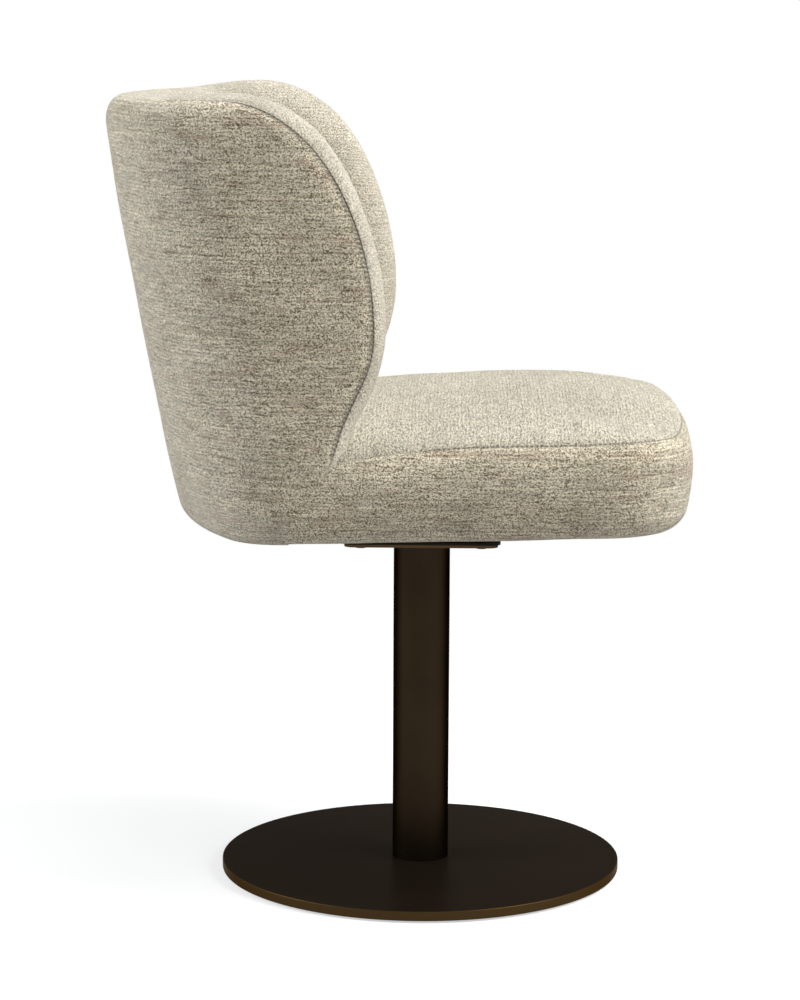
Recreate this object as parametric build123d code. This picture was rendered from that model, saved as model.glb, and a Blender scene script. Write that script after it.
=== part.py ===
from build123d import *
import math
import os

# Upholstered swivel dining chair, millimetres.
# Origin: on the floor, on the axis of the column. +Z is up and the sitter faces -Y.

# ---------------------------------------------------------------- driving dimensions

# Round steel base
base_diameter = 406.4
base_thickness = 9.5
base_edge_round = 0.8
pad_thickness = 2.0
pad_margin = 8.0  # from the pad's rim to the rim of the base
counterbore_diameter = 32.0
counterbore_depth = 5.6

# Bolt, washer and dowel that hold the column to the base
base_bolt_diameter = 12.0
base_bolt_head_diameter = 22.0
base_bolt_head_height = 3.6
washer_diameter = 28.0
washer_thickness = 1.6
dowel_diameter = 5.0
dowel_offset = 17.0  # from the column's axis
foot_plug_height = 16.0

# Column
column_diameter = 57.15
column_wall = 2.6
column_bottom = pad_thickness + base_thickness
column_height = 334.0

# Square plate welded to the top of the column
top_plate_side = 152.4
top_plate_thickness = 3.2
plate_corner = 9.0

# Ball-bearing swivel, two pressed square plates with a caged ring of balls between
swivel_plate_side = 157.6
swivel_sheet = 2.6
dish_height = 3.4  # how far each plate is pressed towards the other
dish_radius = 62.0
dish_slope_width = 5.0
race_radius = 50.0  # pitch circle of the balls
race_groove_depth = 1.6
ball_diameter = 8.0
ball_count = 12
ball_play = 0.05
cage_sheet = 1.4
cage_width = 17.0
rivet_diameter = 12.0
rivet_head_diameter = 20.0
rivet_head_height = 1.8
pivot_play = 0.06  # radial, rivet in the lower plate

# Bolts of the swivel
plate_bolt_diameter = 6.0
plate_bolt_spacing = 120.0
bolt_head_diameter = 11.0
bolt_head_height = 2.6
nut_across = 10.0
nut_height = 4.0
tee_nut_flange = 19.0
tee_nut_sheet = 1.2
tee_nut_barrel = 8.0
tee_nut_length = 10.0
tee_nut_depth = 0.8  # below the board's top
bolt_play = 0.2  # radial, bolts in their holes

# Wedge that tips the seat back
seat_rake = 1.6  # degrees, front edge up
wedge_side = 148.0
seat_underside = 378.0  # height of the seat's underside over the column

# Plan of the seat and back, one outline
half_width = 257.0
front_reach = 262.5
front_bow = 8.0
front_corner = 80.0
rear_bow = 83.0
rear_corner = 96.0
rear_reach_low = 240.0  # reach of the back at its foot, middle and top
rear_reach_mid = 283.0
rear_reach_top = 318.0
level_low = 370.0
level_mid = 580.0
level_top = 790.0
bottom_round = 30.0

# Seat cushion
crown_drop = 20.0  # from the middle of the seat to its sides
seat_edge_round = 34.0
seam_height = 469.0  # of the seam round the seat's top, over the column
seam_rake = 2.0  # degrees
crown_line = (
    (300.0, 470.0),
    (100.0, 486.0),
    (0.0, 494.5),
    (-94.0, 499.0),
    (-180.0, 498.5),
    (-235.0, 493.5),
    (-300.0, 478.0),
)  # height of the crown along the middle of the seat, rear to front
board_thickness = 15.0
board_inset = 32.3
cover_thickness = 2.0
flap_width = 70.0  # cover turned in under the seat
dust_cover_sheet = 1.0
dust_cover_inset = 50.0

# Back, in layers from the outside to the inside
wadding_thickness = 17.4
frame_sheet = 12.0
frame_lift = 5.5  # foot of the bent sheet over the seat's underside
inner_foam_thickness = 21.6
layer_gap = 0.3
wall = 56.0

# Side view of the wings: level top, quarter ellipse, small arc, straight line to the seat
wing_top = 782.0
wing_shoulder = 180.0  # the top starts to fall here, behind the column's axis
wing_nose = 43.0  # front-most point, behind the column's axis
wing_nose_height = 567.0
wing_throat_radius = 100.0
wing_undercut = 25.0  # degrees, the line down to the seat
border_height = 12.0  # crown of the border that closes the rim
border_foot = 448.0  # where the border ends, at the seat's seam
frame_screw_diameter = 5.0
frame_screw_length = 38.0
frame_screw_head = 9.0
frame_screw_sink = 1.0  # head below the face of the bent sheet
screw_places = (-150.0, -95.0, -35.0, 35.0, 95.0, 150.0)

# ---------------------------------------------------------------- derived sizes

column_top = column_bottom + column_height
swivel_base = column_top + top_plate_thickness
ball_level = (
    swivel_base + dish_height + swivel_sheet - race_groove_depth + ball_diameter / 2 + ball_play
)
swivel_top = 2 * ball_level - swivel_base
raked = Pos(0, 0, seat_underside) * Rot(-seat_rake, 0, 0)
big = 900.0
down = (Align.CENTER, Align.CENTER, Align.MIN)


def save(shape, name):
    export_step(shape, f"parts/{name}.step")


def corners(spacing):
    return [(sx * spacing / 2, sy * spacing / 2) for sx in (-1, 1) for sy in (-1, 1)]


def rod(radius, low, high, x=0.0, y=0.0):
    return Pos(x, y, low) * Cylinder(radius, high - low, align=down)


def hexagon(across, low, high, x=0.0, y=0.0):
    return Pos(x, y, low) * extrude(RegularPolygon(across / math.sqrt(3), 6), high - low)


def square_plate(side, thickness, low):
    return Pos(0, 0, low) * extrude(RectangleRounded(side, side, plate_corner), thickness)


# ---------------------------------------------------------------- base and column


def floor_pad():
    return rod(base_diameter / 2 - pad_margin, 0, pad_thickness)


def base_disc():
    disc = rod(base_diameter / 2, pad_thickness, column_bottom)
    disc = fillet(disc.edges().filter_by(GeomType.CIRCLE), base_edge_round)
    disc -= rod(counterbore_diameter / 2, pad_thickness, pad_thickness + counterbore_depth)
    disc -= rod(base_bolt_diameter / 2 + bolt_play, pad_thickness, column_bottom)
    disc -= rod(dowel_diameter / 2, pad_thickness, column_bottom, y=dowel_offset)
    return disc


def base_bolt():
    seat = pad_thickness + counterbore_depth - washer_thickness
    bolt = rod(base_bolt_diameter / 2, seat, column_bottom + foot_plug_height - 2)
    head = rod(base_bolt_head_diameter / 2, seat - base_bolt_head_height, seat)
    socket = hexagon(base_bolt_diameter * 0.6, seat - base_bolt_head_height, seat - 1.0)
    return bolt + head - socket


def base_washer():
    top = pad_thickness + counterbore_depth
    ring = rod(washer_diameter / 2, top - washer_thickness, top)
    return ring - rod(base_bolt_diameter / 2 + bolt_play, 0, top)


def base_dowel():
    low = pad_thickness + counterbore_depth
    return rod(dowel_diameter / 2, low, low + foot_plug_height, y=dowel_offset)


def foot_plug():
    low = column_bottom
    plug = rod(column_diameter / 2 - column_wall, low, low + foot_plug_height)
    plug -= rod(base_bolt_diameter / 2, low, low + foot_plug_height)
    plug -= rod(dowel_diameter / 2, low, low + foot_plug_height, y=dowel_offset)
    return plug


def column_tube():
    outer = rod(column_diameter / 2, column_bottom, column_top)
    return outer - rod(column_diameter / 2 - column_wall, column_bottom, column_top)


def column_top_plate():
    plate = square_plate(top_plate_side, top_plate_thickness, column_top)
    for x, y in corners(plate_bolt_spacing):
        plate -= rod(plate_bolt_diameter / 2 + bolt_play, column_top, swivel_base, x, y)
    return plate


# ---------------------------------------------------------------- swivel


def pressed_plate(foot, hole_radius):
    """Square flange with a round dish pressed up in it and a ball race in the dish."""
    level = foot + dish_height
    slope_start = dish_radius - dish_slope_width
    flange = square_plate(swivel_plate_side, swivel_sheet, foot)
    flange -= rod(dish_radius - 0.5, foot, foot + swivel_sheet)
    with BuildPart() as dish:
        with BuildSketch(Plane.XZ):
            with BuildLine():
                Polyline(
                    (hole_radius, level),
                    (slope_start, level),
                    (dish_radius, foot),
                    (dish_radius, foot + swivel_sheet),
                    (slope_start, level + swivel_sheet),
                    (hole_radius, level + swivel_sheet),
                    close=True,
                )
            make_face()
        revolve(axis=Axis.Z)
    race = Pos(0, 0, ball_level) * Torus(race_radius, ball_diameter / 2 + ball_play)
    plate = flange + dish.part - race
    for x, y in corners(plate_bolt_spacing):
        plate -= rod(plate_bolt_diameter / 2 + bolt_play, foot, foot + swivel_sheet, x, y)
    return plate


def swivel_lower_plate():
    return pressed_plate(swivel_base, rivet_diameter / 2 + pivot_play)


def swivel_upper_plate():
    lower = pressed_plate(swivel_base, rivet_diameter / 2)
    return mirror(lower, Plane.XY.offset(ball_level))


def bearing_balls():
    step = 360 / ball_count
    return [
        Rot(0, 0, i * step) * Pos(race_radius, 0, ball_level) * Sphere(ball_diameter / 2)
        for i in range(ball_count)
    ]


def ball_retainer():
    low = ball_level - cage_sheet / 2
    high = ball_level + cage_sheet / 2
    ring = rod(race_radius + cage_width / 2, low, high)
    ring -= rod(race_radius - cage_width / 2, low, high)
    pocket = rod(ball_diameter / 2 + ball_play, low, high, x=race_radius)
    step = 360 / ball_count
    for i in range(ball_count):
        ring -= Rot(0, 0, i * step) * pocket
    return ring


def swivel_rivet():
    low_face = swivel_base + dish_height
    high_face = swivel_top - dish_height
    play = 0.25
    rivet = rod(rivet_diameter / 2, low_face - play, high_face)
    rivet += rod(rivet_head_diameter / 2, low_face - play - rivet_head_height, low_face - play)
    rivet += rod(rivet_head_diameter / 2, high_face, high_face + rivet_head_height)
    return rivet


def lower_plate_bolts():
    bolts = []
    for x, y in corners(plate_bolt_spacing):
        top = swivel_base + swivel_sheet + nut_height + 0.6
        bolt = rod(plate_bolt_diameter / 2, column_top, top, x, y)
        bolt += rod(bolt_head_diameter / 2, column_top - bolt_head_height, column_top, x, y)
        bolts.append(bolt)
    return bolts


def lower_plate_nuts():
    nuts = []
    for x, y in corners(plate_bolt_spacing):
        low = swivel_base + swivel_sheet
        nut = hexagon(nut_across, low, low + nut_height, x, y)
        nuts.append(nut - rod(plate_bolt_diameter / 2, low, low + nut_height, x, y))
    return nuts


# ---------------------------------------------------------------- wedge, board and bolts


def above_underside(offset):
    """Everything above the raked underside of the seat, moved up by offset."""
    return raked * Pos(0, 0, offset) * Box(big, big, big, align=down)


def spacer_wedge():
    block = square_plate(wedge_side, seat_underside, swivel_top)
    wedge = block - above_underside(cover_thickness)
    wedge -= rod(rivet_head_diameter / 2 + 2, swivel_top, swivel_top + 1)
    for x, y in corners(plate_bolt_spacing):
        wedge -= rod(plate_bolt_diameter / 2 + bolt_play, swivel_top, seat_underside + 20, x, y)
    return wedge


def seat_bolts():
    bolts = []
    for x, y in corners(plate_bolt_spacing):
        seat = swivel_top - swivel_sheet
        bolt = rod(plate_bolt_diameter / 2, seat, tee_nut_top(y), x, y)
        bolt += rod(bolt_head_diameter / 2, seat - bolt_head_height, seat, x, y)
        bolts.append(bolt)
    return bolts


def tee_nut_top(y):
    """The nuts are let into the board, square to the swivel and not to the board."""
    rake = math.radians(seat_rake)
    board_top = (cover_thickness + board_thickness) / math.cos(rake) - y * math.tan(rake)
    return seat_underside + board_top - tee_nut_depth


def tee_nut_holes():
    holes = []
    for x, y in corners(plate_bolt_spacing):
        seat = tee_nut_top(y) - tee_nut_sheet
        hole = rod(tee_nut_barrel / 2, seat - 2 * board_thickness, seat, x, y)
        holes.append(hole + rod(tee_nut_flange / 2 + bolt_play, seat, seat + 5, x, y))
    return holes


def tee_nuts():
    nuts = []
    for x, y in corners(plate_bolt_spacing):
        top = tee_nut_top(y)
        nut = rod(tee_nut_barrel / 2, top - tee_nut_length, top, x, y)
        nut += rod(tee_nut_flange / 2, top - tee_nut_sheet, top, x, y)
        nuts.append(nut - rod(plate_bolt_diameter / 2, top - tee_nut_length, top, x, y))
    return nuts


# ---------------------------------------------------------------- the tub form


def bow_radius(bow):
    """Radius of an arc over the whole width that stands out by bow."""
    return (half_width**2 + bow**2) / (2 * bow)


def bow_at(bow, inset, x):
    """How far the arc, moved in by inset, falls back at x from its middle."""
    radius = bow_radius(bow) - inset
    return radius - math.sqrt(radius**2 - x**2)


def plan_outline(level, rear_reach, inset):
    """Closed outline seen from above: bowed front and rear, straight sides, round corners."""
    x = half_width - inset
    front = -front_reach + inset
    rear = rear_reach - inset
    front_side = front + bow_at(front_bow, inset, x)
    rear_side = rear - bow_at(rear_bow, inset, x)
    with BuildSketch(Plane.XY.offset(level)) as plan:
        with BuildLine():
            ThreePointArc((-x, front_side), (0, front), (x, front_side))
            Line((x, front_side), (x, rear_side))
            ThreePointArc((x, rear_side), (0, rear), (-x, rear_side))
            Line((-x, rear_side), (-x, front_side))
        make_face()
        fillet(plan.vertices().sort_by(Axis.Y)[:2], max(front_corner - inset, 10))
        fillet(plan.vertices().sort_by(Axis.Y)[-2:], max(rear_corner - inset, 10))
    return plan.sketch


def rear_reach_at(level):
    """Reach of the back at a level between its middle and its top."""
    share = (level - level_mid) / (level_top - level_mid)
    return rear_reach_mid + share * (rear_reach_top - rear_reach_mid)


def tub(inset, lift, rounding=0.0):
    """The whole form inset all round, from its raked underside, moved up by lift, to its top."""
    sections = [
        plan_outline(level_low - 60, rear_reach_low - 12, inset),
        plan_outline(level_low, rear_reach_low, inset),
        plan_outline(level_mid, rear_reach_mid, inset),
        plan_outline(level_top, rear_reach_top, inset),
    ]
    form = loft([section.face() for section in sections])
    form = form & above_underside(lift)
    if rounding:
        bottom = min(form.faces(), key=lambda face: face.center().Z)
        form = fillet(bottom.edges(), rounding)
    return form


def under_zone(lift):
    """Everything from well below the raked underside up to lift above it."""
    depth = 100
    slab = Box(big, big, depth, align=(Align.CENTER, Align.CENTER, Align.MAX))
    return raked * Pos(0, 0, lift) * slab


# ---------------------------------------------------------------- side view of the wings


def wing_curve(inset, foot):
    """Rim of a wing in the YZ plane, from its shoulder round its nose and down to foot."""
    slope = math.radians(wing_undercut)
    throat = wing_throat_radius - inset
    start = Vector(0, wing_nose + wing_throat_radius - throat * math.cos(slope),
                   wing_nose_height - throat * math.sin(slope))
    end = (start.Y + (start.Z - foot) * math.tan(slope), foot)
    with BuildLine(Plane.YZ) as curve:
        EllipticalCenterArc(
            (wing_shoulder, wing_nose_height),
            wing_shoulder - wing_nose - inset,
            wing_top - wing_nose_height - inset,
            start_angle=90,
            arc_size=90,
        )
        CenterArc((wing_nose + wing_throat_radius, wing_nose_height), throat, 180, wing_undercut)
        Line((start.Y, start.Z), end)
    return curve.line


def back_zone(inset):
    """Everything behind and below the rim of the wings, from side to side."""
    foot = level_low - 60
    top = wing_top - inset
    curve = wing_curve(inset, foot)
    low = min(curve.vertices(), key=lambda vertex: vertex.Z)
    far = big / 2
    rest = Polyline((0, low.Y, foot), (0, far, foot), (0, far, top), (0, wing_shoulder, top))
    outline = Wire(curve.edges() + rest.edges())
    return extrude(Face(outline), far, both=True)


# ---------------------------------------------------------------- border round the rim


def border_path():
    """Middle of the wall along its rim: up one wing, round the back and down the other."""
    x = half_width - wall / 2
    outline = plan_outline(wing_top, rear_reach_at(wing_top), wall / 2)
    rear = [edge for edge in outline.edges() if edge.center().Y > wing_shoulder]
    side_end = min(vertex.Y for edge in rear for vertex in edge.vertices())
    curve = wing_curve(0, border_foot)
    edges = list(rear)
    for side in (x, -x):
        edges += [Pos(side, 0, 0) * edge for edge in curve.edges()]
        edges.append(Edge.make_line((side, wing_shoulder, wing_top), (side, side_end, wing_top)))
    return Wire(edges)


def border(width, height, hollow=None):
    """Crowned strip swept along the rim, its flat side on the rim.

    hollow gives the width and height of a crowned channel left open in its flat side.
    """
    path = border_path()
    start = path @ 0
    section_plane = Plane(origin=start, x_dir=(1, 0, 0), z_dir=path % 0)
    side = -1 if section_plane.y_dir.Y > 0 else 1
    with BuildSketch(section_plane) as section:
        with BuildLine():
            ThreePointArc((-width / 2, 0), (0, side * height), (width / 2, 0))
            if hollow:
                edge, rise = hollow[0] / 2, hollow[1]
                Line((width / 2, 0), (edge, 0))
                ThreePointArc((edge, 0), (0, side * rise), (-edge, 0))
                Line((-edge, 0), (-width / 2, 0))
            else:
                Line((width / 2, 0), (-width / 2, 0))
        make_face()
    return sweep(section.sketch, path=path)


def border_roll():
    return border(wall - 2 * cover_thickness - 2 * layer_gap, border_height - cover_thickness)


def border_strip():
    inside = wall - 2 * cover_thickness
    return border(wall, border_height, (inside, border_height - cover_thickness + layer_gap))


# ---------------------------------------------------------------- layers of the back


def layer(outer, inner, lift, rounding=0.0):
    """One layer of the back between two insets from the outside."""
    shell = tub(outer, lift, rounding) - tub(inner, lift - 30)
    return shell & back_zone(layer_gap)


def back_outer_cover():
    outside = tub(0, 0, bottom_round)
    inside = tub(cover_thickness, cover_thickness, bottom_round - cover_thickness)
    skin = (outside - inside) & back_zone(layer_gap)
    return skin - (tub(flap_width, -30) & under_zone(cover_thickness + 5))


def back_wadding():
    outer = cover_thickness + layer_gap
    return layer(outer, outer + wadding_thickness, outer, bottom_round - outer)


def back_frame():
    outer = board_inset - layer_gap - frame_sheet
    sheet = layer(outer, outer + frame_sheet, frame_lift)
    for screw in frame_screws():
        sheet -= screw
    return sheet


def back_inner_foam():
    outer = board_inset
    lift = cover_thickness + board_thickness + layer_gap
    return layer(outer, outer + inner_foam_thickness, lift)


def back_inner_cover():
    outer = wall - cover_thickness + 0.2
    lift = cover_thickness + board_thickness + layer_gap
    return layer(outer, wall, lift)


def frame_screws():
    """Countersunk screws through the bent sheet into the rear edge of the board."""
    screws = []
    inset = board_inset - layer_gap - frame_sheet
    rake = math.radians(seat_rake)
    level = seat_underside + cover_thickness + board_thickness / 2
    level -= rear_reach_low * math.tan(rake)
    for x in screw_places:
        face = rear_reach_low - inset - bow_at(rear_bow, inset, x)
        place = Pos(x, face - frame_screw_sink, level) * Rot(90, 0, 0)
        shank = Cylinder(frame_screw_diameter / 2, frame_screw_length, align=down)
        head = Cone(frame_screw_head / 2, frame_screw_diameter / 2, frame_screw_head / 3, align=down)
        screws.append(place * (shank + head))
    return screws


# ---------------------------------------------------------------- seat cushion


def crown_block(inset):
    """Block whose top is the crown of the seat: highest in the middle, falling to the front."""
    x = half_width + 20
    faces = []
    for y, height in crown_line:
        middle = height - inset
        edge = middle - crown_drop
        with BuildSketch(Plane(origin=(0, y, 0), x_dir=(1, 0, 0), z_dir=(0, -1, 0))) as section:
            with BuildLine():
                ThreePointArc((-x, edge), (0, middle), (x, edge))
                Polyline((x, edge), (x, 300), (-x, 300), (-x, edge))
            make_face()
        faces.append(section.sketch.face())
    return loft(faces)


def cushion_form(inset):
    form = tub(inset, inset, bottom_round - inset) & crown_block(inset)
    top = max(form.faces(), key=lambda face: face.center().Z)
    return fillet(top.edges(), seat_edge_round - inset)


def clear_of_back(shape):
    """The seat keeps clear of the wall of the back and of the border's feet."""
    wall_room = (tub(-5, -40) - tub(wall + layer_gap, -60)) & back_zone(-layer_gap)
    return shape - wall_room - border(wall + 2 * layer_gap, border_height + layer_gap)


def seat_skin():
    skin = cushion_form(0) - cushion_form(cover_thickness)
    skin -= tub(flap_width, -30) & under_zone(cover_thickness + 5)
    skin -= back_zone(-layer_gap) & under_zone(cover_thickness + 5)
    return clear_of_back(skin)


def above_seam():
    return Pos(0, 0, seam_height) * Rot(-seam_rake, 0, 0) * Box(big, big, big, align=down)


def seat_board():
    board = tub(board_inset, cover_thickness) & under_zone(cover_thickness + board_thickness)
    for hole in tee_nut_holes():
        board -= hole
    for screw in frame_screws():
        board -= screw
    return board


def seat_foam():
    foam = cushion_form(cover_thickness + layer_gap)
    room = tub(board_inset - layer_gap, -30)
    foam -= room & under_zone(cover_thickness + board_thickness + layer_gap)
    return clear_of_back(foam)


def dust_cover():
    sheet = tub(dust_cover_inset, -dust_cover_sheet) & under_zone(0)
    return sheet - square_plate(wedge_side + 2, 2 * seat_underside, 0)


if __name__ == "__main__":
    os.makedirs("parts", exist_ok=True)
    pedestal = {
        "floor_pad": floor_pad(),
        "base_disc": base_disc(),
        "base_bolt": base_bolt(),
        "base_washer": base_washer(),
        "base_dowel": base_dowel(),
        "foot_plug": foot_plug(),
        "column_tube": column_tube(),
        "column_top_plate": column_top_plate(),
        "swivel_lower_plate": swivel_lower_plate(),
        "lower_plate_bolts": Compound(children=lower_plate_bolts()),
        "lower_plate_nuts": Compound(children=lower_plate_nuts()),
    }
    bearing = {
        "ball_retainer": ball_retainer(),
        "bearing_balls": Compound(children=bearing_balls()),
    }
    skin = seat_skin()
    seat = {
        "swivel_upper_plate": swivel_upper_plate(),
        "swivel_rivet": swivel_rivet(),
        "spacer_wedge": spacer_wedge(),
        "seat_bolts": Compound(children=seat_bolts()),
        "tee_nuts": Compound(children=tee_nuts()),
        "seat_board": seat_board(),
        "seat_foam": seat_foam(),
        "seat_top_cover": skin & above_seam(),
        "seat_side_band": skin - above_seam(),
        "dust_cover": dust_cover(),
        "back_frame": back_frame(),
        "frame_screws": Compound(children=frame_screws()),
        "back_wadding": back_wadding(),
        "back_inner_foam": back_inner_foam(),
        "back_outer_cover": back_outer_cover(),
        "back_inner_cover": back_inner_cover(),
        "border_roll": border_roll(),
        "border_strip": border_strip(),
    }
    for group in (pedestal, bearing, seat):
        for name, shape in group.items():
            save(shape, name)
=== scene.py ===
import math
import bpy
import numpy as np
from mathutils import Matrix, Vector, noise


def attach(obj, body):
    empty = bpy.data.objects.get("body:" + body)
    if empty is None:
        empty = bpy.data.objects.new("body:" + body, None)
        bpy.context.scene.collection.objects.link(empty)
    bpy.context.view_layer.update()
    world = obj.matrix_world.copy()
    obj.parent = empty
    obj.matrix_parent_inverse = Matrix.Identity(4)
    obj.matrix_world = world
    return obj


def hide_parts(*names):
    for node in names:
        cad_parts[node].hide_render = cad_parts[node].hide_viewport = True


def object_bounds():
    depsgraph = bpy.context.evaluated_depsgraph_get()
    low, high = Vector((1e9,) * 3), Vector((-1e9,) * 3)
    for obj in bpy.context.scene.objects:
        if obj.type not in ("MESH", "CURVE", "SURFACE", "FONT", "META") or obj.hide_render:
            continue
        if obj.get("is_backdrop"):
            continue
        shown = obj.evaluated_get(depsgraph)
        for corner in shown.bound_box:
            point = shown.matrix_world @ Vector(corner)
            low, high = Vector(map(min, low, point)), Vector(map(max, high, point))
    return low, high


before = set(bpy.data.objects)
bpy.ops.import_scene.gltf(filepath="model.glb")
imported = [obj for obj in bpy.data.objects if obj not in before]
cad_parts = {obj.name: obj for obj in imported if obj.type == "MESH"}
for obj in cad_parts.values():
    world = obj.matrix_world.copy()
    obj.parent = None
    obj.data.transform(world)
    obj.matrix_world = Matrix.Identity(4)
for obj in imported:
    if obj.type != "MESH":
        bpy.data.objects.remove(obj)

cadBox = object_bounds()
mm = 0.001
scene = bpy.context.scene


# small helpers

def deselectAll():
    bpy.ops.object.select_all(action="DESELECT")


def pick(piece):
    deselectAll()
    piece.select_set(True)
    bpy.context.view_layer.objects.active = piece


def setAll(thing, settings):
    for key, value in settings.items():
        setattr(thing, key, value)


def addAndApply(piece, kind, **settings):
    modifier = piece.modifiers.new(kind.lower(), kind)
    setAll(modifier, settings)
    pick(piece)
    bpy.ops.object.modifier_apply(modifier=modifier.name)


def shadeSmooth(piece, angle=None):
    pick(piece)
    if angle is None:
        bpy.ops.object.shade_smooth()
    else:
        bpy.ops.object.shade_smooth_by_angle(angle=math.radians(angle))


def coordinates(mesh):
    flat = np.empty(len(mesh.vertices) * 3)
    mesh.vertices.foreach_get("co", flat)
    return flat.reshape(-1, 3)


def setCoordinates(mesh, points):
    mesh.vertices.foreach_set("co", np.asarray(points, float).ravel())
    mesh.update()


def stack(*columns):
    return np.stack(columns, axis=1)


def smoothStep(value, low, high):
    t = np.clip((value - low) / (high - low), 0, 1)
    return t * t * (3 - 2 * t)


def softMesh(name, points, faces, corners, sewn):
    # corners holds one pattern place for each corner of each face, and sewn holds, for each point,
    # how near it is to a seam and how far along the seam it lies
    mesh = bpy.data.meshes.new(name)
    mesh.from_pydata([tuple(p) for p in points * mm], [], faces)
    layer = mesh.uv_layers.new(name="weave")
    layer.data.foreach_set("uv", np.asarray(corners, float).ravel() * mm)
    for label, values in zip(("crease", "stitch"), sewn):
        attribute = mesh.attributes.new(label, "FLOAT", "POINT")
        attribute.data.foreach_set("value", np.asarray(values, float))
    mesh.validate()
    piece = bpy.data.objects.new(name, mesh)
    scene.collection.objects.link(piece)
    shadeSmooth(piece)
    return piece


# the plan of the seat and back, as in the frame, in millimetres

plan = {
    "halfWidth": 257.0,
    "rearBow": 83.0,
    "rearCorner": 96.0,
    "frontBow": 8.0,
    "frontCorner": 80.0,
    "frontReach": 262.5,
    "reach": ((370.0, 240.0), (580.0, 283.0), (790.0, 318.0)),
    "heel": (14.0, 400.0, 366.0),  # how much fuller the foot is, from the upper height to the lower
    "underside": 378.0,
    "rake": 1.6,
    "wall": 56.0,
}


def cornerArc(bow, corner):
    # radius of the bowed arc, how far the corner's centre is from the arc's, the angle between them,
    # and the lengths of arc and corner
    half = plan["halfWidth"]
    radius = (half ** 2 + bow ** 2) / (2 * bow)
    side = half - corner
    apart = math.sqrt((radius - corner) ** 2 - side ** 2)
    angle = math.asin(side / (radius - corner))
    return radius, apart, angle, radius * angle, corner * (math.pi / 2 - angle)


rearRadius, rearApart, rearAngle, rearArcRun, rearCornerRun = cornerArc(plan["rearBow"], plan["rearCorner"])
frontRadius, frontApart, frontAngle, frontArcRun, frontCornerRun = cornerArc(
    plan["frontBow"], plan["frontCorner"])
sideStart = rearArcRun + rearCornerRun
frontCornerY = -plan["frontReach"] + frontRadius - frontApart
rearCurve = np.polyfit(*zip(*plan["reach"]), 2)


def reachAt(z):
    fuller, upper, lower = plan["heel"]
    return np.polyval(rearCurve, z) + fuller * smoothStep(upper - z, 0, upper - lower)


def rearCornerY(z):
    return reachAt(z) - rearRadius + rearApart


def undersideAt(y):
    return plan["underside"] - y * math.tan(math.radians(plan["rake"]))


def outline(run, z, inset):
    # run goes round the outside from the middle of the rear, positive towards +X
    run, z, inset = np.broadcast_arrays(*[np.asarray(a, float) for a in (run, z, inset)])
    sign = np.where(run < 0, -1.0, 1.0)
    run = np.abs(run)
    half, corner, nose = plan["halfWidth"], plan["rearCorner"], plan["frontCorner"]
    arcY = reachAt(z) - rearRadius
    cornerY = arcY + rearApart
    sideRun = cornerY - frontCornerY
    x, y = half - inset, cornerY - (run - sideStart)

    def bend(chosen, middleX, middleY, radius, angle):
        # an arc whose angle goes round from +Y towards +X
        return (np.where(chosen, middleX + (radius - inset) * np.sin(angle), x),
                np.where(chosen, middleY + (radius - inset) * np.cos(angle), y))

    x, y = bend(run < rearArcRun, 0, arcY, rearRadius, run / rearRadius)
    inCorner = (run >= rearArcRun) & (run < sideStart)
    x, y = bend(inCorner, half - corner, cornerY, corner, rearAngle + (run - rearArcRun) / corner)
    past = run - sideStart - sideRun
    angle = math.pi / 2 + np.clip(past, 0, frontCornerRun) / nose
    x, y = bend((past >= 0) & (past < frontCornerRun), half - nose, frontCornerY, nose, angle)
    past = past - frontCornerRun
    angle = math.pi - frontAngle + np.clip(past, 0, frontArcRun) / frontRadius
    x, y = bend(past >= 0, 0, frontRadius - plan["frontReach"], frontRadius, angle)
    return sign * x, y


def wholeRun(z):
    return sideStart + (rearCornerY(z) - frontCornerY) + frontCornerRun + frontArcRun


def runAtY(y, z):
    # how far round the outside the line at y crosses it, on the sitter's side of the rear
    cornerY = rearCornerY(z)
    if y <= cornerY:
        return sideStart + cornerY - y
    angle = math.acos(min(1.0, (y - cornerY) / plan["rearCorner"]))
    return rearArcRun + (angle - rearAngle) * plan["rearCorner"]


# the seam of the wings in the side view, from its foot up to the shoulder

wingSeam = {
    "top": 788.0,
    "shoulder": 185.0,
    "nose": (43.0, 575.0),
    "throat": 100.0,
    "undercut": 25.0,
    "tuck": (6.0, 456.0, 22.0),  # where the seat's edge meets the line: how far forward, height, spread
    "foot": 408.0,
    "steps": (21, 36),
}


def seamY(z):
    # the seam's place at a height below the nose
    noseY, noseZ = wingSeam["nose"]
    throat, slope = wingSeam["throat"], math.radians(wingSeam["undercut"])
    lineY = noseY + throat * (1 - math.cos(slope))
    lineZ = noseZ - throat * math.sin(slope)
    drop = np.clip(noseZ - np.asarray(z, float), 0, throat * math.sin(slope))
    bend = noseY + throat - np.sqrt(throat ** 2 - drop ** 2)
    amount, height, spread = wingSeam["tuck"]
    tuck = amount * np.exp(-(((z - height) / spread) ** 2))
    return np.where(z < lineZ, lineY + (lineZ - z) * math.tan(slope), bend) - tuck


def seamRuns():
    # the seam laid out flat, as distance round the outside and height, with its outward normals
    noseY, noseZ = wingSeam["nose"]
    shoulder, top = wingSeam["shoulder"], wingSeam["top"]
    low, rise = wingSeam["steps"]
    lowZ = np.linspace(wingSeam["foot"], noseZ, low, endpoint=False)
    angle = np.linspace(0, math.pi / 2, rise + 1)
    lineY = np.concatenate([seamY(lowZ), shoulder - (shoulder - noseY) * np.cos(angle)])
    lineZ = np.concatenate([lowZ, noseZ + (top - noseZ) * np.sin(angle)])
    flat = np.array([(runAtY(y, z), z) for y, z in zip(lineY, lineZ)])
    along = np.gradient(flat, axis=0)
    along[-1] = (-1.0, 0.0)
    along /= np.linalg.norm(along, axis=1)[:, None]
    return flat, stack(along[:, 1], -along[:, 0])


seamFlat, seamOut = seamRuns()


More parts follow.
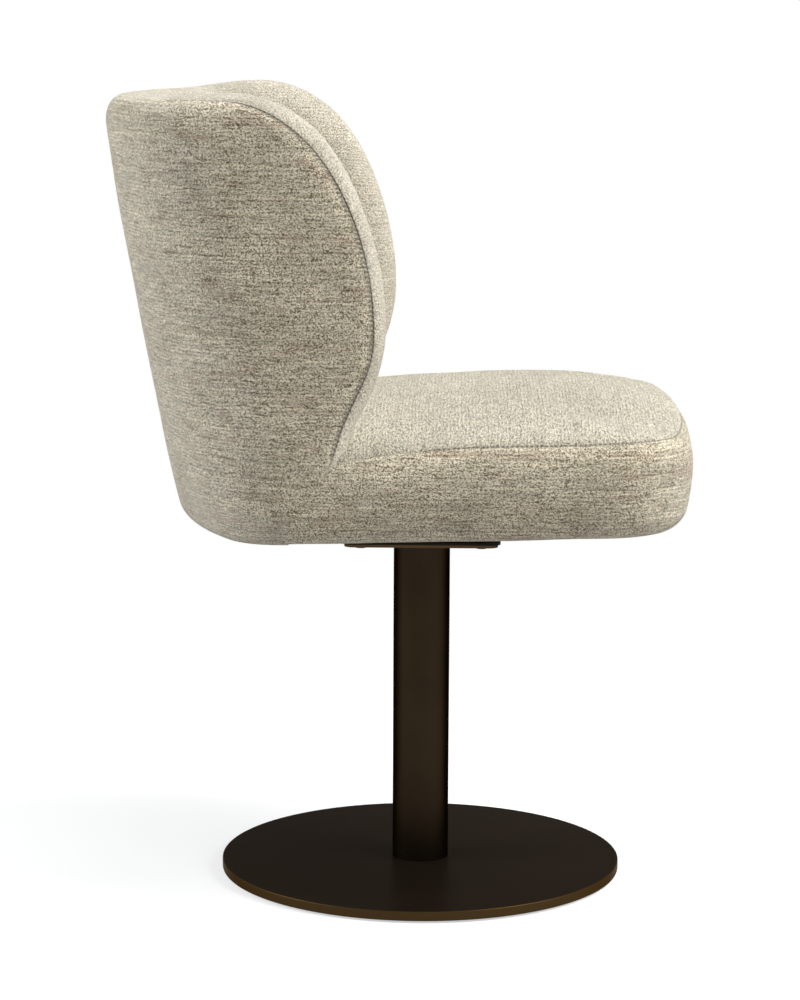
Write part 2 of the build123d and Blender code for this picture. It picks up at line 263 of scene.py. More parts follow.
def distanceToSeam(run, z):
    top = np.linspace(seamFlat[-1, 0], 0, 60)[1:]
    lowZ = wingSeam["foot"] - 10.0 * np.arange(1, 5)
    low = np.array([runAtY(float(seamY(z)), z) for z in lowZ])
    lineRun = np.concatenate([low[::-1], seamFlat[:, 0], top])
    lineZ = np.concatenate([lowZ[::-1], seamFlat[:, 1], np.full(len(top), wingSeam["top"])])
    line = stack(lineRun, lineZ)
    p = stack(np.abs(run).ravel(), z.ravel())
    best = np.full(len(p), np.inf)
    for start, end in zip(line[:-1], line[1:]):
        d = end - start
        t = np.clip(((p - start) @ d) / (d @ d), 0, 1)
        best = np.minimum(best, np.linalg.norm(p - start - t[:, None] * d, axis=1))
    return best.reshape(np.shape(run))


def roundOver(distance, width, drop):
    # how far a surface has turned in near its seam
    t = np.clip(1 - distance / width, 0, 1)
    return drop * (1 - np.sqrt(np.clip(1 - t * t, 0, 1)))


def gridFaces(rows, columns, closed=False):
    # quads of a grid, with the row and column of each corner; a closed grid's last column joins its first
    faces, places = [], []
    for r in range(rows - 1):
        for c in range(columns if closed else columns - 1):
            square = ((r, c), (r, c + 1), (r + 1, c + 1), (r + 1, c))
            faces.append(tuple(i * columns + j % columns for i, j in square))
            places.append(square)
    return faces, places


def patchFill(loop, quarters, height):
    # grid that fills a closed loop of points, with its corners at four of them
    a, b, c, d = quarters
    count = len(loop)

    def side(start, end):
        return [(start + k) % count for k in range((end - start) % count + 1)]

    left, rear, right, front = side(a, b), side(b, c), side(c, d)[::-1], side(d, a)[::-1]
    u = np.linspace(0, 1, len(left))[:, None, None]
    v = np.linspace(0, 1, len(rear))[None, :, None]
    flat = loop[:, :2]
    grid = (
        (1 - v) * flat[left][:, None] + v * flat[right][:, None] + (1 - u) * flat[front] + u * flat[rear]
        - (1 - u) * ((1 - v) * flat[a] + v * flat[d]) - u * ((1 - v) * flat[b] + v * flat[c])
    )[1:-1, 1:-1]
    index = np.zeros((len(left), len(rear)), int)
    index[:, 0], index[:, -1], index[0], index[-1] = left, right, front, rear
    index[1:-1, 1:-1] = count + np.arange(grid.size // 2).reshape(grid.shape[:2])
    x, y = grid.reshape(-1, 2).T
    squares = np.stack([index[:-1, :-1], index[:-1, 1:], index[1:, 1:], index[1:, :-1]], axis=2)
    return stack(x, y, height(x, y)), squares.reshape(-1, 4).tolist()


cloth = {
    "frames": 20,
    "settings": {
        "quality": 5, "mass": 0.3, "tension_stiffness": 25.0, "compression_stiffness": 25.0,
        "shear_stiffness": 12.5, "bending_stiffness": 2.0, "use_pressure": True, "vertex_group_mass": "held",
    },
}


def puff(piece, held, pressure, cap):
    # puffs up a padded piece as cloth held at its seams
    group = piece.vertex_groups.new(name="held")
    for index, weight in held.items():
        group.add([index], weight, "REPLACE")
    rest = coordinates(piece.data)
    modifier = piece.modifiers.new("cloth", "CLOTH")
    setAll(modifier.settings, cloth["settings"])
    modifier.settings.uniform_pressure_force = pressure
    modifier.settings.effector_weights.gravity = 0
    modifier.collision_settings.use_collision = False
    setAll(modifier.point_cache, {"frame_start": 1, "frame_end": cloth["frames"]})
    for step in range(1, cloth["frames"] + 1):
        scene.frame_set(step)
    seen = piece.evaluated_get(bpy.context.evaluated_depsgraph_get())
    moved = coordinates(seen.data) - rest
    length = np.linalg.norm(moved, axis=1)
    most, mean = length.max() / mm, length.mean() / mm
    print(f"  {piece.name}: cloth moved up to {most:.1f} mm, {mean:.1f} on average")
    limit = cap * mm
    share = np.where(length > 1e-9, limit * np.tanh(length / limit) / np.maximum(length, 1e-9), 1)
    piece.modifiers.remove(modifier)
    piece.vertex_groups.remove(group)
    setCoordinates(piece.data, rest + moved * share[:, None])
    scene.frame_set(1)


def push(piece, distance):
    # moves each point along its normal
    normals = np.array([v.normal for v in piece.data.vertices])
    setCoordinates(piece.data, coordinates(piece.data) + normals * distance[:, None] * mm)


def unevenness(piece, size, amount, offset):
    # slow lumps of the stuffing
    places = [Vector(p) / (size * mm) + Vector((offset, 0, 0)) for p in coordinates(piece.data)]
    push(piece, amount * np.array([noise.noise(place) for place in places]))


def thicken(piece, thickness):
    # the far side of the padding, its edge kept sharp
    addAndApply(piece, "SOLIDIFY", thickness=thickness * mm, offset=-1.0, edge_crease_outer=1.0,
                edge_crease_inner=1.0, edge_crease_rim=1.0)
    soften(piece)


def soften(piece):
    addAndApply(piece, "SUBSURF", levels=1, render_levels=1)


# materials

class Field:
    # the output of a node, which can be reckoned with like a number

    def __init__(self, tree, socket):
        self.tree, self.socket = tree, socket

    def __add__(self, other):
        return maths("ADD", self, other)

    def __sub__(self, other):
        return maths("SUBTRACT", self, other)

    def __rsub__(self, other):
        return maths("SUBTRACT", other, self)

    def __mul__(self, other):
        return maths("MULTIPLY", self, other)

    def __truediv__(self, other):
        return maths("DIVIDE", self, other)


def treeOf(*sources):
    return next(source.tree for source in sources if isinstance(source, Field))


def wire(source, target):
    # a field is linked to the socket, and a number or a colour is set on it
    if isinstance(source, Field):
        source.tree.links.new(source.socket, target)
    elif isinstance(source, tuple) and target.type == "RGBA":
        target.default_value = source[:3] + (1.0,)
    else:
        target.default_value = source


def wireAll(node, sources):
    for label, source in sources.items():
        wire(source, node.inputs[label])


def addNode(tree, kind, **settings):
    node = tree.nodes.new(kind)
    setAll(node, settings)
    return node


def addField(tree, kind, *sources, output=0, **settings):
    # a node with the sources on its first inputs
    node = addNode(tree, kind, **settings)
    for source, target in zip(sources, node.inputs):
        wire(source, target)
    return Field(tree, node.outputs[output])


def maths(operation, a, b=0.0):
    return addField(treeOf(a, b), "ShaderNodeMath", a, b, operation=operation)


def waveOf(turns):
    return maths("COSINE", turns * (2 * math.pi))


def mixColor(share, a, b, blend="MIX"):
    tree = treeOf(share, a, b)
    node = addNode(tree, "ShaderNodeMix", data_type="RGBA", blend_type=blend)
    for slot, source in ((0, share), (6, a), (7, b)):
        wire(source, node.inputs[slot])
    return Field(tree, node.outputs[2])


def mapRange(value, low, high, toLow=0.0, toHigh=1.0, smooth=False):
    return addField(value.tree, "ShaderNodeMapRange", value, low, high, toLow, toHigh,
                    interpolation_type="SMOOTHSTEP" if smooth else "LINEAR")


def noiseOf(vector, scale, detail=2.0, roughness=0.5):
    node = addNode(vector.tree, "ShaderNodeTexNoise")
    wireAll(node, {"Vector": vector, "Scale": scale, "Detail": detail, "Roughness": roughness})
    return Field(vector.tree, node.outputs["Fac"])


def combine(x, y, z=0.0):
    return addField(treeOf(x, y, z), "ShaderNodeCombineXYZ", x, y, z)


def separate(vector, kind="ShaderNodeSeparateXYZ"):
    node = addNode(vector.tree, kind)
    wire(vector, node.inputs[0])
    return [Field(vector.tree, socket) for socket in node.outputs]


def lengthOf(vector):
    return addField(vector.tree, "ShaderNodeVectorMath", vector, output="Value", operation="LENGTH")


def objectPlace(tree):
    return addField(tree, "ShaderNodeTexCoord", output="Object")


def shaderGroup(name, inputs, outputs):
    # among the inputs None stands for a vector, a number for a value and a tuple for a colour
    group = bpy.data.node_groups.new(name, "ShaderNodeTree")
    kinds = {type(None): "NodeSocketVector", float: "NodeSocketFloat", tuple: "NodeSocketColor"}
    for label, value in inputs.items():
        socket = group.interface.new_socket(label, in_out="INPUT", socket_type=kinds[type(value)])
        if value is not None:
            socket.default_value = value
    for label in outputs:
        kind = "NodeSocketColor" if label == "Color" else "NodeSocketFloat"
        group.interface.new_socket(label, in_out="OUTPUT", socket_type=kind)
    start = group.nodes.new("NodeGroupInput")
    given = {label: Field(group, start.outputs[label]) for label in inputs}
    return group, given, group.nodes.new("NodeGroupOutput")


def useGroup(tree, group, **values):
    node = addNode(tree, "ShaderNodeGroup", node_tree=group)
    wireAll(node, values)
    return {socket.name: Field(tree, socket) for socket in node.outputs}


def newMaterial(name):
    material = bpy.data.materials.new(name)
    material.use_nodes = True
    tree = material.node_tree
    tree.nodes.clear()
    output = tree.nodes.new("ShaderNodeOutputMaterial")
    return material, tree, output


def principled(name):
    material, tree, output = newMaterial(name)
    shader = tree.nodes.new("ShaderNodeBsdfPrincipled")
    tree.links.new(shader.outputs["BSDF"], output.inputs["Surface"])
    return material, tree, shader


def dress(shader, color, roughness, height, relief, distance, constants):
    # colour, roughness and bump, then the shader's own constants
    bump = addNode(color.tree, "ShaderNodeBump")
    wireAll(bump, {"Strength": relief, "Distance": distance, "Height": height})
    normal = Field(color.tree, bump.outputs[0])
    wireAll(shader, {"Base Color": color, "Roughness": roughness, "Normal": normal, **constants})


# chenille: tufts with dark specks between them on soft ribs, with slubs, long streaks and slow patches

chenille = {
    "ribPitch": 3.4,  # mm
    "loopPitch": 3.7,
    "stitchPitch": 4.5,
    "wander": 4.8,
    "tuft": 1.35,  # per mm
    "speck": 1.25,
    "heights": {"middle": 0.5, "rib": 0.09, "loop": 0.05, "edge": 0.35, "speck": 1.6},
    # patterns drawn out along the ribs: scale along and across per mm, place, detail and roughness
    "thin": (0.045, 0.30, 0.0, 3.0, 0.6),
    "yarn": (0.016, 0.10, 7.0, 4.0, 0.6),
    "streak": (0.014, 0.36, 5.0, 2.0, 0.5),
    "streakDepth": 0.85,
    "thinDepth": 0.36,
    "gapRange": (0.20, 0.56),  # between these heights the dark ground gives way to the pile
    # colour of the seam's painted shade line
    "seam": (0.05, 0.036, 0.018),
    "light": (0.855, 0.778, 0.605),
    "gap": (0.110, 0.080, 0.034),
    "slubWarm": (0.65, 0.515, 0.38),
    "slubOlive": (0.62, 0.58, 0.41),
    "relief": 0.9,
    "bumpDistance": 0.0011,
    "gloss": {
        "Specular IOR Level": 0.1, "Sheen Weight": 0.45, "Sheen Roughness": 0.45,
        "Sheen Tint": (1.0, 0.98, 0.94),
    },
}


def buildChenille():
    group, given, out = shaderGroup(
        "slubChenille", {"Place": None, "Slubs": 1.0, "Patches": 1.0, "Depth": 1.0, "Streaks": 1.0},
        ("Color", "Height", "Roughness"))
    along, across = [part / mm for part in separate(given["Place"])[:2]]
    heights = chenille["heights"]
    place = combine(along, across)
    across = across + (noiseOf(place, 0.04) - 0.5) * chenille["wander"]

    def stretched(name):
        alongScale, acrossScale, layer, detail, roughness = chenille[name]
        return noiseOf(combine(along * alongScale, across * acrossScale, layer), 1.0, detail, roughness)

    # ribs, and loops along them that start anywhere
    phase = across / chenille["ribPitch"]
    start = addNode(group, "ShaderNodeTexWhiteNoise", noise_dimensions="1D")
    wire(maths("ROUND", phase), start.inputs["W"])
    turns = along / chenille["loopPitch"] + Field(group, start.outputs["Value"]) * 5.0
    loop = waveOf(turns + (noiseOf(place, 0.16) - 0.5) * 1.6)
    # each tuft has its own tone, and is darker round its edge
    cell = addNode(group, "ShaderNodeTexVoronoi", voronoi_dimensions="2D")
    wireAll(cell, {"Vector": combine(along, across), "Scale": chenille["tuft"]})
    tone = separate(Field(group, cell.outputs["Color"]), "ShaderNodeSeparateColor")[0]
    tuft = (tone - 0.5) + (0.42 - Field(group, cell.outputs["Distance"])) * heights["edge"]
    speck = noiseOf(combine(along, across, 9.0), chenille["speck"], 1.0, 0.9) - 0.5
    height = waveOf(phase) * heights["rib"] + loop * heights["loop"]
    height = height + tuft + speck * heights["speck"] + heights["middle"]
    # slubs: the pile is thinner along them, so the dark ground shows
    thin = mapRange(stretched("thin"), 0.50, 0.72, smooth=True)
    share = mapRange(height - thin * given["Slubs"] * chenille["thinDepth"], *chenille["gapRange"])
    # yarns of a warmer and of a greener tone
    yarn = stretched("yarn")
    warm = mapRange(yarn, 0.51, 0.68, 0.0, 0.9, smooth=True)
    olive = mapRange(yarn, 0.48, 0.32, 0.0, 0.7, smooth=True)
    base = mixColor(warm * given["Patches"], chenille["light"], chenille["slubWarm"])
    base = mixColor(olive * given["Patches"], base, chenille["slubOlive"])
    # slow patches, and long streaks one or two ribs high
    shade = mapRange(noiseOf(combine(along, across, 3.0), 0.013, 3.0, 0.6), 0.3, 0.7, 0.88, 1.08)
    streak = (stretched("streak") - 0.5) * given["Streaks"]
    shade = shade * (streak * chenille["streakDepth"] + 1.0)
    base = mixColor(1.0, base, combine(shade, shade, shade), "MULTIPLY")
    wireAll(out, {
        "Color": mixColor((1.0 - share) * given["Depth"], base, chenille["gap"]),
        "Height": height,
        "Roughness": mapRange(height, 0.0, 1.0, 1.0, 0.86),
    })
    return group


chenilleGroup = buildChenille()


def chenilleMaterial(name, paintedLightVeil, **amounts):
    # the veil is a share of a colour laid over the weave: painted light and sheen, which make a lighter or a
    # darker copy of the one fabric
    material, tree, shader = principled(name)
    weave = useGroup(tree, chenilleGroup, Place=addField(tree, "ShaderNodeUVMap", uv_map="weave"), **amounts)
    color = mixColor(paintedLightVeil[0], weave["Color"], paintedLightVeil[1])
    # the seam is painted as a dark line: painted shade in its crease, darkest at its stitches
    near, run = [addField(tree, "ShaderNodeAttribute", output="Fac", attribute_name=label)
                 for label in ("crease", "stitch")]
    beat = mapRange(waveOf(run / chenille["stitchPitch"]), -0.6, 0.6, 0.35, 0.85, smooth=True)
    line = mapRange(near, 0.35, 0.85, smooth=True) * beat
    dress(shader, mixColor(line, color, chenille["seam"]), weave["Roughness"], weave["Height"],
          chenille["relief"], chenille["bumpDistance"], chenille["gloss"])
    return material


# the seat's top and the inner back are copies of the same chenille: a cool grey veil over the top is painted
# sheen and shade, and a pale veil over the inner back is painted light and sheen
seatFabric = chenilleMaterial("chenilleSeat", (0.15, (0.33, 0.42, 0.45)),
                              Slubs=0.35, Patches=0.5, Depth=0.95, Streaks=0.3)
sideFabric = chenilleMaterial("chenilleSide", (0.0, (0.7, 0.7, 0.7)))
innerFabric = chenilleMaterial("chenilleInner", (0.14, (0.84, 0.86, 0.88)),
                               Slubs=0.4, Patches=0.5, Depth=0.95, Streaks=0.5)
print("fabrics made")


# grain, wear and mottling shared by the rigid finishes

def buildSurface():
    group, given, out = shaderGroup(
        "satinSurface",
        {"Place": None, "Tint": (0.5, 0.5, 0.5, 1), "Worn": (0.6, 0.6, 0.6, 1),
         "Grain": 400.0, "Mottle": 0.15, "Rough": 0.4},
        ("Color", "Roughness", "Height"))
    fine = noiseOf(given["Place"], given["Grain"], 3.0)
    broad = noiseOf(given["Place"], 14.0, 4.0, 0.6)
    wireAll(out, {
        "Color": mixColor(mapRange(broad, 0.35, 0.7) * given["Mottle"], given["Tint"], given["Worn"]),
        "Roughness": given["Rough"] + (fine - 0.5) * 0.12 + (broad - 0.5) * 0.10,
        "Height": fine,
    })
    return group


surfaceGroup = buildSurface()

usualFinish = {"mottle": 0.5, "metallic": 1.0, "specular": 0.5, "relief": 0.03, "grazing": 1.0}

def finish(tint, worn, grain, rough, **others):
    return {**usualFinish, "tint": tint, "worn": worn, "grain": grain, "rough": rough, **others}


finishes = {
    "bronzeDark": finish((0.0215, 0.0148, 0.0088), (0.031, 0.020, 0.0115), 900.0, 0.36,
                         relief=0.02, grazing=0.1),
    "bronzePlate": finish((0.062, 0.040, 0.020), (0.09, 0.06, 0.03), 900.0, 0.36, relief=0.02, grazing=0.1),
    "blackSteel": finish((0.013, 0.008, 0.004), (0.021, 0.014, 0.008), 1500.0, 0.5,
                         metallic=0.0, specular=0.08, relief=0.05),
    "blackBolt": finish((0.02, 0.02, 0.02), (0.05, 0.05, 0.05), 1500.0, 0.42,
                        mottle=0.6, metallic=0.6, specular=0.4),
    "zincSteel": finish((0.55, 0.55, 0.57), (0.42, 0.43, 0.42), 1200.0, 0.33, mottle=0.7),
    "rawSteel": finish((0.42, 0.42, 0.43), (0.30, 0.30, 0.30), 700.0, 0.4, mottle=0.7, relief=0.05),
    "cageBrass": finish((0.62, 0.44, 0.19), (0.45, 0.31, 0.13), 1100.0, 0.32, mottle=0.7),
    "ballSteel": finish((0.72, 0.72, 0.74), (0.65, 0.65, 0.67), 2000.0, 0.14, mottle=0.3, relief=0.005),
    "wedgePlastic": finish((0.018, 0.018, 0.018), (0.028, 0.028, 0.027), 1300.0, 0.55,
                           mottle=0.4, metallic=0.0, specular=0.4, relief=0.15),
}


def finishMaterial(name):
    look = finishes[name]
    material, tree, shader = principled(name)
    surface = useGroup(tree, surfaceGroup, Place=objectPlace(tree), Tint=look["tint"], Worn=look["worn"],
                       Grain=look["grain"], Mottle=look["mottle"], Rough=look["rough"])
    dress(shader, surface["Color"], surface["Roughness"], surface["Height"], look["relief"], 0.0003, {
        "Metallic": look["metallic"], "Specular IOR Level": look["specular"],
        "Specular Tint": (look["grazing"],) * 3,
    })
    return material, tree, shader, surface


metals = {name: finishMaterial(name)[0] for name in finishes}

disc = {
    "darkTop": (0.0175, 0.0120, 0.0088),
    "rim": (0.050, 0.030, 0.0120),  # painted reflection of the pale floor and backdrop on the disc's edge
    "rimFrom": (0.2020, 0.2028),
    "gloss": {"Specular Tint": (0.40, 0.40, 0.39), "Metallic": 0.6, "Specular IOR Level": 0.0},
}


def discMaterial():
    # the same bronze, darker on top, and lighter at the rim as a painted reflection of the pale floor and
    # backdrop
    material, tree, shader, surface = finishMaterial("bronzeDark")
    material.name = "bronzeDisc"
    x, y, _ = separate(objectPlace(tree))
    # the painted reflection covers the disc's edge
    rim = mapRange(lengthOf(combine(x, y)), *disc["rimFrom"], smooth=True)
    darkTop = mixColor(0.8, surface["Color"], disc["darkTop"])
    wireAll(shader, {"Base Color": mixColor(rim, darkTop, disc["rim"]), **disc["gloss"]})
    return material


plywood = {"light": (0.66, 0.49, 0.30), "dark": (0.50, 0.34, 0.19), "plyPitch": 0.0015}


def plywoodMaterial():
    material, tree, shader = principled("plywoodBirch")
    place = objectPlace(tree)
    stretch = addNode(tree, "ShaderNodeMapping")
    wireAll(stretch, {"Vector": place, "Scale": (3.0, 40.0, 12.0)})
    rings = noiseOf(Field(tree, stretch.outputs[0]), 2.0, 6.0, 0.6)
    wave = addNode(tree, "ShaderNodeTexWave", wave_type="BANDS", bands_direction="Z")
    wireAll(wave, {"Vector": place, "Scale": 0.314 / plywood["plyPitch"] / 2, "Distortion": 0.6})
    color = mixColor(mapRange(rings, 0.3, 0.75) * 0.8, plywood["light"], plywood["dark"])
    color = mixColor(Field(tree, wave.outputs["Fac"]) * 0.25, color, plywood["dark"])
    dress(shader, color, mapRange(rings, 0.0, 1.0, 0.6, 0.8), rings, 0.2, 0.0003, {})
    return material


def fibreMaterial(name, light, dark, size, relief):
    # felt and non-woven cloth: short fibres lying every way
    material, tree, shader = principled(name)
    place = objectPlace(tree)
    fibres = noiseOf(place, size, 6.0, 0.75)
    soft = mapRange(noiseOf(place, size / 12, 3.0), 0.2, 0.8, 0.6, 1.0)
    color = mixColor(mapRange(fibres, 0.35, 0.65) * soft, dark, light)
    dress(shader, color, mapRange(fibres, 0.0, 1.0, 1.0, 0.85), fibres, relief, 0.0005,
          {"Specular IOR Level": 0.15, "Sheen Weight": 0.15})
    return material


bronzeDisc = discMaterial()
plywoodBirch = plywoodMaterial()
padFelt = fibreMaterial("padFelt", (0.05, 0.05, 0.05), (0.015, 0.015, 0.015), 900.0, 0.8)
dustCloth = fibreMaterial("dustCloth", (0.035, 0.035, 0.036), (0.012, 0.012, 0.012), 1400.0, 0.5)

nodeFinish = (
    (bronzeDisc, ("base_disc",)),
    (metals["bronzeDark"], ("column_tube",)),
    (metals["bronzePlate"], ("column_top_plate",)),
    (metals["blackSteel"], ("swivel_lower_plate", "swivel_upper_plate")),
    (metals["blackBolt"], ("lower_plate_bolts", "lower_plate_nuts", "seat_bolts")),
    (metals["zincSteel"], ("base_bolt", "base_washer", "base_dowel", "swivel_rivet", "tee_nuts",
                           "frame_screws")),
    (metals["rawSteel"], ("foot_plug",)),
    (metals["cageBrass"], ("ball_retainer",)),
    (metals["ballSteel"], ("bearing_balls",)),
    (metals["wedgePlastic"], ("spacer_wedge",)),
    (plywoodBirch, ("seat_board", "back_frame")),
)
for material, nodeNames in nodeFinish:
    for nodeName in nodeNames:
        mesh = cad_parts[nodeName].data
        mesh.materials.clear()
        mesh.materials.append(material)
print("finishes on the frame's nodes")


# seat cushion: one closed padded form, its top cover and its side band sewn along the seam

seat = {
    "columns": 232,
    "patchCorners": (32, 84, 148, 200),  # columns where the middle of the top has its corners
    "level": 440.0,  # the height at which the pattern's runs are measured
    "pile": 0.3,  # the pattern of the top is drawn out across the seat
    # height and inset: the board's pocket and the cover turned in under it
    "pocket": ((17.4, 72), (17.4, 50), (17.4, 33.5), (16.6, 32), (10, 32), (2.8, 32), (2.1, 33.5), (2.0, 50),
               (2.0, 68), (1.5, 69.6), (0.6, 69.6), (0.0, 68), (0.0, 55), (0.0, 42)),
    "bottomRound": (30.0, 26.0),  # at the sides and at the front
    "lean": 4.0,  # how far the front's foot is drawn in
    # distance to the rear and height, along the middle
    "crown": ((-300, 470), (-240, 488), (-212, 494.5), (-180, 498.8), (-94, 499.5), (0, 494.5), (100, 486),
              (300, 470)),
    "crownDrop": 20.0,
    "crownSpan": 277.0,
    "topInsets": (10, 22, 34, 74),  # the last is a limit
    "edgeRound": (34.0, 20.0),  # at the sides and at the front
    # distance to the front and height, along the side
    "seam": ((-300, 446), (-120, 448), (-71, 456), (-29, 463.7), (8, 468.6), (50, 471.8), (149, 474.4),
             (210, 477), (300, 477)),
    "seamTuck": 2.4,
    "seamLip": 2.2,
    "behind": 2.2,  # the form stays inside the back's cover
    "heldFrom": 110.0,  # and isn't puffed up there
    "pressure": 3.0,
    "cap": 4.0,
    "swell": (62.0, 0.9, 3.0),  # size, height and place of the lumps
    "fill": 0.75,
}


def crownAt(x, y):
    return np.interp(y, *np.transpose(seat["crown"])) - seat["crownDrop"] * (x / seat["crownSpan"]) ** 2


def seatSeamAt(y):
    return np.interp(-y, *np.transpose(seat["seam"]))


def smoothed(values, passes=6):
    # softens the joints between the straight stretches of a closed line of numbers
    for _ in range(passes):
        values = (np.roll(values, 1) + 2 * values + np.roll(values, -1)) / 4
    return values


def makeSeat():
    count, level = seat["columns"], seat["level"]
    share = np.arange(count) / count * 2 - 1
    whole = wholeRun(level)

    def around(z, inset):
        # the plan grows with height at the rear
        return outline(share * wholeRun(z), z, inset)

    edgeX, edgeY = around(level, 0)
    isFront = smoothStep(-edgeY, 150, 240)
    rounding, footRound = [
        side + (front - side) * isFront for side, front in (seat["edgeRound"], seat["bottomRound"])]
    rounding = smoothed(rounding)
    lean = seat["lean"] * isFront
    seamZ = smoothed(seatSeamAt(edgeY), 3)
    rows, kinds, patternZ = [], [], []

    def addRow(kind, place, x, y, z):
        rows.append(stack(x, y, z))
        kinds.append(kind)
        patternZ.append(place)

    def behind(y, z):
        # behind the wings' seam the form stays inside the back's cover
        return smoothStep(y - seamY(z), 1, 14) * seat["behind"]

    def ring(height, inset):
        # height over the raked underside
        z = undersideAt(around(plan["underside"], inset)[1]) + height
        y = around(z, inset)[1]
        x, y = around(z, inset + behind(y, z))
        return x, y, undersideAt(y) + height

    def onRounding(angle):
        x, y = around(seamZ, rounding * (1 - np.cos(angle)) + behind(edgeY, seamZ))
        return x, y, crownAt(x, y) - rounding * (1 - np.sin(angle))

    # pocket, flap, the rounded foot of the side, and the side up to the rounding
    for height, inset in seat["pocket"]:
        addRow("under", -inset, *ring(height, inset))
    for part in np.arange(1, 7) / 6:
        height, inset = (footRound * (1 - turned(math.pi / 2 * part)) for turned in (math.cos, math.sin))
        addRow("band", -14 + 47 * part, *ring(height, inset + lean))
    wallLow = rows[-1][:, 2]
    wallHigh = crownAt(edgeX, edgeY) - rounding
    for part in np.arange(1, 6) / 5:
        z = wallLow + (wallHigh - wallLow) * part
        x, y = around(z, lean * (1 - part) ** 2 + behind(around(z, 0)[1], z))
        addRow("band", 32 + 38 * part, x, y, z)
    # the seam is where the rounding reaches its height
    low, high = np.zeros(count), np.full(count, math.pi / 2)
    for _ in range(30):
        mid = (low + high) / 2
        above = onRounding(mid)[2] > seamZ
        low, high = np.where(above, low, mid), np.where(above, mid, high)
    seamAngle = smoothed((low + high) / 2, 3)
    lip = seat["seamLip"] / rounding
    for k in (1, 2, 3):
        addRow("band" if k < 3 else "lip", 70 + 6 * k, *onRounding((seamAngle - lip) * k / 3))
    addRow("seam", 94, *onRounding(seamAngle))
    for k in range(5):
        angle = seamAngle + lip + (math.pi / 2 - seamAngle - lip) * k / 4
        addRow("top" if k else "topLip", 96, *onRounding(angle))
    *insets, limit = seat["topInsets"]
    for inset in insets:
        x, y = around(seamZ, np.minimum(rounding + inset, limit))
        addRow("top", 94, x, y, crownAt(x, y))
    rows = np.array(rows)
    faces, places = gridFaces(len(rows), count, closed=True)
    faces = [face[::-1] for face in faces]
    points = rows.reshape(-1, 3)
    # the top's pattern goes on over its edge, and the band's pattern goes round the seat
    outward = stack(*around(level, 0)) - stack(*around(level, 30))
    outward /= np.linalg.norm(outward, axis=1)[:, None]
    drop = crownAt(rows[:, :, 0], rows[:, :, 1]) - rows[:, :, 2]
    topPattern = rows[:, :, :2] * (seat["pile"], 1.0) + drop[:, :, None] * outward[None]
    corners, covers = [], []
    for square in places:
        kind = kinds[square[2][0]]
        covers.append({"under": "under", "top": "top", "topLip": "top"}.get(kind, "band"))
        for r, c in square[::-1]:
            x, y, z = rows[r, c % count]
            if covers[-1] == "band":
                run = share[c % count] * whole + (2 * whole if c == count else 0)
                corners.append((run, z if patternZ[r] > 0 else z + patternZ[r]))
            else:
                corners.append(tuple(topPattern[r, c % count]) if covers[-1] == "top" else (x, y))
    # the middle of the top and of the underside
    for first, cover, height, wide in (
        (len(points) - count, "top", crownAt, seat["pile"]),
        (0, "under", lambda x, y: undersideAt(y) + seat["pocket"][0][0], 1.0),
    ):
        filled, squares = patchFill(points[first:first + count], seat["patchCorners"], height)
        base = len(points) - count
        points = np.concatenate([points, filled])
        for square in squares:
            face = tuple(i + (first if i < count else base) for i in square)
            faces.append(face if cover == "top" else face[::-1])
            covers.append(cover)
            corners.extend((points[i][0] * wide, points[i][1]) for i in faces[-1])
    near, run = np.zeros(len(points)), np.zeros(len(points))
    seamRow = kinds.index("seam")
    onSeam = slice(seamRow * count, (seamRow + 1) * count)
    # where the seam's painted shade line shows, along the sides and the front
    near[onSeam] = smoothStep(np.abs(share), 0.40, 0.52)
    run[(seamRow - 1) * count:(seamRow + 2) * count] = np.tile(share * whole, 3)
    piece = softMesh("seatCushion", points, faces, corners, (near, run))
    for material in (seatFabric, sideFabric):
        piece.data.materials.append(material)
    piece.data.polygons.foreach_set("material_index", [0 if cover == "top" else 1 for cover in covers])
    held = {
        r * count + c: 1.0 for r, kind in enumerate(kinds) for c in range(count)
        if kind in ("seam", "lip", "topLip", "under") or rows[r, c, 1] > seat["heldFrom"]
    }
    held.update({i: 1.0 for i in range(len(points) - len(filled), len(points))})
    puff(piece, held, seat["pressure"], seat["cap"])
    # the seam draws the cover in
    tuck = np.zeros(len(points))
    tuck[onSeam] = -seat["seamTuck"]
    push(piece, tuck)
    soften(piece)
    unevenness(piece, *seat["swell"])
    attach(piece, "seat")
    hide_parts("seat_foam", "seat_top_cover", "seat_side_band")
    return piece


seatCushion = makeSeat()
print("seat cushion made")


# outer back: the cover of the back and wings over its wadding

outerBack = {
    "columns": 107,
    "flap": (74.0, 66.0, 58.0, 50.0),  # insets of the cloth turned in under the seat
    "flapStart": 125.0,
    "footStart": 118.0,
    "wings": (0.55, 0.9),  # between these shares of the width the foot changes from the rear's to the wings'
    "bottomRound": (30.0, 32.0),  # at the wings and at the rear
    "wingEdge": (14.0, 4.5),  # width and depth of the turned edge along the wings
    "topEdge": (30.0, 22.0),
    "lowEdge": (6.0, 0.9),
    "thickness": 13.0,
    "pressure": 2.0,
    "cap": 3.0,
    "swell": (80.0, 0.8, 11.0),
    "fill": 0.6,
}


def rearShare(run):
    # 1 round the rear, where the top seam lies flush, and 0 along the wings
    return smoothStep(sideStart + 60 - np.abs(run), 0, 120)


def outerInset(run, z):
    distance = distanceToSeam(run, z)
    wing, top, low = [roundOver(distance, *outerBack[name]) for name in ("wingEdge", "topEdge", "lowEdge")]
    upper = wing + (top - wing) * rearShare(run)
    return low + (upper - low) * smoothStep(z, 440, 475)


